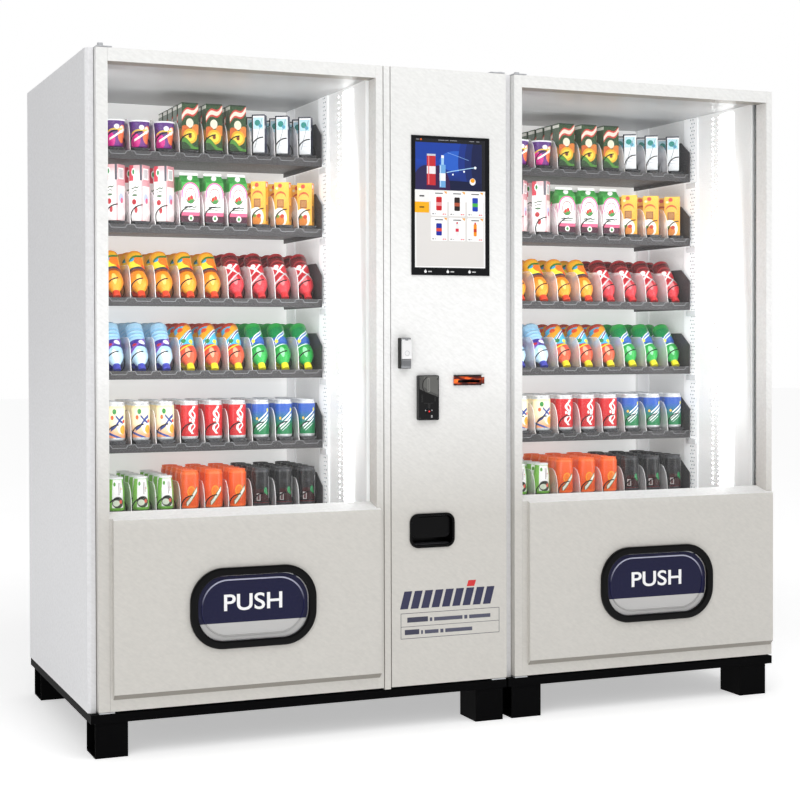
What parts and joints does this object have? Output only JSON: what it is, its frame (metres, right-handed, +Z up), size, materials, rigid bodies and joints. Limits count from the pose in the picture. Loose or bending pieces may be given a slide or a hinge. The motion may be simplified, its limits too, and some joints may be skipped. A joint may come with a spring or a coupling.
{
  "type": "snack vending machine",
  "caption": "Glass-front snack and drink vending machine with a side cabinet: hinged glass doors, sliding spiral trays, pick-up flaps and a touch-screen control door.",
  "frame": {"origin": "on the floor, under the middle of the machine's bounding box", "axes": "+X to the right seen from the front, +Y from the doors to the back, +Z up"},
  "size_m": [2.215, 0.959, 1.951],
  "materials": {
    "door_white": "satin orange-peel powder coat",
    "side_grey": "satin powder coat",
    "liner_white": "semi-gloss moulded plastic",
    "black_steel": "satin black paint",
    "zinc": "zinc plate",
    "tray_grey": "satin grey powder coat",
    "window_glass": "clear double glazing",
    "seal_black": "soft gasket",
    "lamp": "lit diffuser",
    "bin_steel": "painted sheet",
    "bezel_black": "fine-grained moulded plastic",
    "flap_navy": "gloss moulded plastic",
    "screen_glass": "cover glass over a display",
    "lever_chrome": "polished plate",
    "button_grey": "moulded plastic",
    "button_red": "moulded plastic",
    "plate_dark": "moulded plastic with a brushed inlay",
    "cup_black": "gloss moulded plastic",
    "fan_black": "moulded plastic",
    "wire_dark": "dark coated spring wire",
    "machine_steel": "plain machine steel"
  },
  "bodies": {
    "cabinets": {"main_cabinet": "side_grey", "main_liner": "liner_white", "main_delivery_bin": "bin_steel", "side_cabinet": "side_grey", "side_liner": "liner_white", "side_delivery_bin": "bin_steel", "base_frames": "black_steel", "feet": "black_steel", "tray_rails": "zinc", "light_strips": "lamp", "door_hinges": "zinc", "centre_post": "door_white", "cooling_units": "machine_steel", "rear_grilles": "black_steel", "control_box": "bin_steel", "power_inlet": "bezel_black"},
    "main_door": {"main_door_frame": "door_white", "main_door_glass": "window_glass", "main_door_seal": "seal_black", "main_lower_panel": "door_white", "main_pickup_bezel": "bezel_black"},
    "main_flap": {"main_pickup_flap": "flap_navy"},
    "main_cooling_fan": {"main_fan": "fan_black"},
    "side_door": {"side_door_frame": "door_white", "side_door_glass": "window_glass", "side_door_seal": "seal_black", "side_lower_panel": "door_white", "side_pickup_bezel": "bezel_black"},
    "side_flap": {"side_pickup_flap": "flap_navy"},
    "side_cooling_fan": {"side_fan": "fan_black"},
    "control_panel": {"control_door": "door_white", "touch_screen": "screen_glass", "lock_housing": "bezel_black", "coin_plate": "plate_dark", "banknote_reader": "bezel_black", "coin_cup": "cup_black", "coin_mechanism": "bezel_black"},
    "lock_spindle": {"handle_spindle": "machine_steel"},
    "lock_lever": {"door_handle": "lever_chrome"},
    "lock_release": {"lock_button": "button_grey"},
    "coin_reject": {"coin_return_button": "button_red"},
    "cup_flap": {"coin_cup_flap": "cup_black"},
    "main_shelf_1": {"main_tray_1": "tray_grey"},
    "main_shelf_2": {"main_tray_2": "tray_grey"},
    "main_shelf_3": {"main_tray_3": "tray_grey"},
    "main_shelf_4": {"main_tray_4": "tray_grey"},
    "main_shelf_5": {"main_tray_5": "tray_grey"},
    "main_shelf_6": {"main_tray_6": "tray_grey"},
    "side_shelf_1": {"side_tray_1": "tray_grey"},
    "side_shelf_2": {"side_tray_2": "tray_grey"},
    "side_shelf_3": {"side_tray_3": "tray_grey"},
    "side_shelf_4": {"side_tray_4": "tray_grey"},
    "side_shelf_5": {"side_tray_5": "tray_grey"},
    "side_shelf_6": {"side_tray_6": "tray_grey"},
    "spiral_drive_1": {"main_spiral_1": "wire_dark"},
    "spiral_drive_2": {"main_spiral_2": "wire_dark"},
    "spiral_drive_3": {"main_spiral_3": "wire_dark"},
    "spiral_drive_4": {"main_spiral_4": "wire_dark"},
    "spiral_drive_5": {"main_spiral_5": "wire_dark"}
  },
  "joints": [
    {"name": "main_door_hinge", "type": "hinge", "parent": "cabinets", "child": "main_door", "pos_m": [-1.0695, -0.4335, 1], "axis": [0, 0, -1], "range_deg": [0, 100]},
    {"name": "side_door_hinge", "type": "hinge", "parent": "cabinets", "child": "side_door", "pos_m": [0.1945, -0.4335, 1], "axis": [0, 0, -1], "range_deg": [0, 85]},
    {"name": "control_door_hinge", "type": "hinge", "parent": "cabinets", "child": "control_panel", "pos_m": [0.1385, -0.4335, 1], "axis": [0, 0, 1], "range_deg": [0, 85]},
    {"name": "main_flap_hinge", "type": "hinge", "parent": "main_door", "child": "main_flap", "pos_m": [-0.6465, -0.4575, 0.473], "axis": [1, 0, 0], "range_deg": [0, 70]},
    {"name": "side_flap_hinge", "type": "hinge", "parent": "side_door", "child": "side_flap", "pos_m": [0.667, -0.4575, 0.467], "axis": [1, 0, 0], "range_deg": [0, 70]},
    {"name": "lock_turn", "type": "hinge", "parent": "control_panel", "child": "lock_spindle", "pos_m": [-0.1835, -0.4555, 1.134], "axis": [0, -1, 0], "range_deg": [0, 90]},
    {"name": "lever_lift", "type": "hinge", "parent": "lock_spindle", "child": "lock_lever", "pos_m": [-0.1835, -0.473, 1.134], "axis": [-1, 0, 0], "range_deg": [0, 30]},
    {"name": "lock_button_press", "type": "slide", "parent": "control_panel", "child": "lock_release", "axis": [0, 1, 0], "range_m": [0, 0.003], "stiffness_N_per_m": 300},
    {"name": "coin_reject_press", "type": "slide", "parent": "control_panel", "child": "coin_reject", "axis": [0, 1, 0], "range_m": [0, 0.004], "stiffness_N_per_m": 300},
    {"name": "cup_flap_hinge", "type": "hinge", "parent": "control_panel", "child": "cup_flap", "pos_m": [-0.092, -0.43625, 0.618], "axis": [1, 0, 0], "range_deg": [0, 45]},
    {"name": "main_fan_spin", "type": "hinge", "parent": "cabinets", "child": "main_cooling_fan", "pos_m": [-0.6585, 0.4065, 0.34], "axis": [0, 1, 0], "continuous": true},
    {"name": "side_fan_spin", "type": "hinge", "parent": "cabinets", "child": "side_cooling_fan", "pos_m": [0.6455, 0.4065, 0.34], "axis": [0, 1, 0], "continuous": true},
    {"name": "main_tray_1_slide", "type": "slide", "parent": "cabinets", "child": "main_shelf_1", "axis": [0, -1, 0], "range_m": [0, 0.335]},
    {"name": "main_tray_2_slide", "type": "slide", "parent": "cabinets", "child": "main_shelf_2", "axis": [0, -1, 0], "range_m": [0, 0.335]},
    {"name": "main_tray_3_slide", "type": "slide", "parent": "cabinets", "child": "main_shelf_3", "axis": [0, -1, 0], "range_m": [0, 0.335]},
    {"name": "main_tray_4_slide", "type": "slide", "parent": "cabinets", "child": "main_shelf_4", "axis": [0, -1, 0], "range_m": [0, 0.335]},
    {"name": "main_tray_5_slide", "type": "slide", "parent": "cabinets", "child": "main_shelf_5", "axis": [0, -1, 0], "range_m": [0, 0.335]},
    {"name": "main_tray_6_slide", "type": "slide", "parent": "cabinets", "child": "main_shelf_6", "axis": [0, -1, 0], "range_m": [0, 0.335]},
    {"name": "side_tray_1_slide", "type": "slide", "parent": "cabinets", "child": "side_shelf_1", "axis": [0, -1, 0], "range_m": [0, 0.335]},
    {"name": "side_tray_2_slide", "type": "slide", "parent": "cabinets", "child": "side_shelf_2", "axis": [0, -1, 0], "range_m": [0, 0.335]},
    {"name": "side_tray_3_slide", "type": "slide", "parent": "cabinets", "child": "side_shelf_3", "axis": [0, -1, 0], "range_m": [0, 0.335]},
    {"name": "side_tray_4_slide", "type": "slide", "parent": "cabinets", "child": "side_shelf_4", "axis": [0, -1, 0], "range_m": [0, 0.335]},
    {"name": "side_tray_5_slide", "type": "slide", "parent": "cabinets", "child": "side_shelf_5", "axis": [0, -1, 0], "range_m": [0, 0.335]},
    {"name": "side_tray_6_slide", "type": "slide", "parent": "cabinets", "child": "side_shelf_6", "axis": [0, -1, 0], "range_m": [0, 0.335]},
    {"name": "spiral_1_spin", "type": "hinge", "parent": "main_shelf_1", "child": "spiral_drive_1", "pos_m": [-1.00145, 0.1545, 1.7382], "axis": [0, 1, 0], "continuous": true},
    {"name": "spiral_2_spin", "type": "hinge", "parent": "main_shelf_1", "child": "spiral_drive_2", "pos_m": [-0.92535, 0.1545, 1.7382], "axis": [0, 1, 0], "continuous": true},
    {"name": "spiral_3_spin", "type": "hinge", "parent": "main_shelf_1", "child": "spiral_drive_3", "pos_m": [-0.84925, 0.1545, 1.7382], "axis": [0, 1, 0], "continuous": true},
    {"name": "spiral_4_spin", "type": "hinge", "parent": "main_shelf_1", "child": "spiral_drive_4", "pos_m": [-0.77315, 0.1545, 1.7382], "axis": [0, 1, 0], "continuous": true},
    {"name": "spiral_5_spin", "type": "hinge", "parent": "main_shelf_1", "child": "spiral_drive_5", "pos_m": [-0.69705, 0.1545, 1.7382], "axis": [0, 1, 0], "continuous": true}
  ]
}
